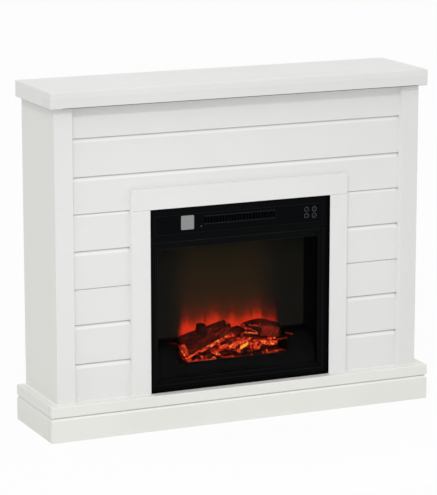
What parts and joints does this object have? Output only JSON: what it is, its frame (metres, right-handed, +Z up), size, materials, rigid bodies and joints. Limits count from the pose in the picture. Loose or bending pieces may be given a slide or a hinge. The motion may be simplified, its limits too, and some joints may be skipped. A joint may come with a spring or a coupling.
{
  "type": "electric fireplace",
  "caption": "White plank-fronted mantel with shelf and plinth around a black electric insert: flame window, log bed, heater grille and push buttons.",
  "frame": {"origin": "centre of the plinth's footprint, on the floor", "axes": "+Z up, the front faces -Y, +X to the viewer's right when facing the fire"},
  "size_m": [1.018, 0.244, 0.845],
  "materials": {
    "white_paint": "satin white paint over fibreboard",
    "zinc_steel": "zinc plated",
    "black_frame": "satin black",
    "black_panel": "satin black",
    "button_black": "black with a pale ring",
    "receiver_smoke": "smoked",
    "window_glass": "clear, polished",
    "casing_black": "black powder coat",
    "screw_black": "black oxide",
    "firebox_black": "satin black",
    "flame_glass": "translucent dark screen lit from behind",
    "ember_resin": "translucent resin, lit from below",
    "log_resin": "painted resin with a charred bark texture",
    "circuit_board": "green solder mask",
    "mirror_fins": "reflecting",
    "motor_steel": "bare",
    "nylon_white": "moulded",
    "galvanised": "galvanised sheet",
    "fan_aluminium": "bare",
    "gland_black": "moulded"
  },
  "bodies": {
    "mantel": {"angle_brackets": "zinc_steel", "blower_housing": "galvanised", "casing_back": "casing_black", "casing_bottom": "casing_black", "casing_left": "casing_black", "casing_right": "casing_black", "casing_screws": "screw_black", "casing_top": "casing_black", "control_board": "circuit_board", "control_panel": "black_panel", "cord_gland": "gland_black", "ember_bed": "ember_resin", "fan_motor": "motor_steel", "firebox_ceiling": "firebox_black", "firebox_left_wall": "firebox_black", "firebox_right_wall": "firebox_black", "flame_screen": "flame_glass", "flicker_motor": "motor_steel", "front_frame": "black_frame", "front_glass": "window_glass", "front_left_log": "log_resin", "heating_element": "fan_aluminium", "insert_brackets": "zinc_steel", "led_board": "circuit_board", "left_front_panel": "white_paint", "left_pilaster": "white_paint", "left_side_panel": "white_paint", "log_tray": "firebox_black", "plinth_deck": "white_paint", "plinth_front": "white_paint", "plinth_left": "white_paint", "plinth_rear": "white_paint", "plinth_right": "white_paint", "power_board": "circuit_board", "rear_left_log": "log_resin", "rear_top_rail": "white_paint", "receiver_lens": "receiver_smoke", "right_front_panel": "white_paint", "right_log": "log_resin", "right_pilaster": "white_paint", "right_side_panel": "white_paint", "shelf_front_edge": "white_paint", "shelf_left_edge": "white_paint", "shelf_right_edge": "white_paint", "shelf_top": "white_paint", "spindle_bracket": "nylon_white", "surround_left_stile": "white_paint", "surround_right_stile": "white_paint", "surround_top_rail": "white_paint", "thermal_cutout": "galvanised", "upper_front_panel": "white_paint", "wall_plates": "zinc_steel", "wood_screws": "zinc_steel"},
    "fan_rotor": {"fan_rotor": "fan_aluminium"},
    "flame_button": {"flame_button": "button_black"},
    "flicker_spindle": {"flicker_spindle": "mirror_fins"},
    "high_heat_button": {"high_heat_button": "button_black"},
    "low_heat_button": {"low_heat_button": "button_black"},
    "power_button": {"power_button": "button_black"}
  },
  "joints": [
    {"name": "power_button_press", "type": "slide", "parent": "mantel", "child": "power_button", "axis": [0, 1, 0], "range_m": [0, 0.0008], "stiffness_N_per_m": 900, "springref_m": -0.0006},
    {"name": "flame_button_press", "type": "slide", "parent": "mantel", "child": "flame_button", "axis": [0, 1, 0], "range_m": [0, 0.0008], "stiffness_N_per_m": 900, "springref_m": -0.0006},
    {"name": "low_heat_button_press", "type": "slide", "parent": "mantel", "child": "low_heat_button", "axis": [0, 1, 0], "range_m": [0, 0.0008], "stiffness_N_per_m": 900, "springref_m": -0.0006},
    {"name": "high_heat_button_press", "type": "slide", "parent": "mantel", "child": "high_heat_button", "axis": [0, 1, 0], "range_m": [0, 0.0008], "stiffness_N_per_m": 900, "springref_m": -0.0006},
    {"name": "flicker_spindle_turn", "type": "hinge", "parent": "mantel", "child": "flicker_spindle", "pos_m": [0, 0.033, 0.175], "axis": [1, 0, 0], "continuous": true},
    {"name": "fan_rotor_turn", "type": "hinge", "parent": "mantel", "child": "fan_rotor", "pos_m": [0, 0.023, 0.492], "axis": [1, 0, 0], "continuous": true}
  ]
}
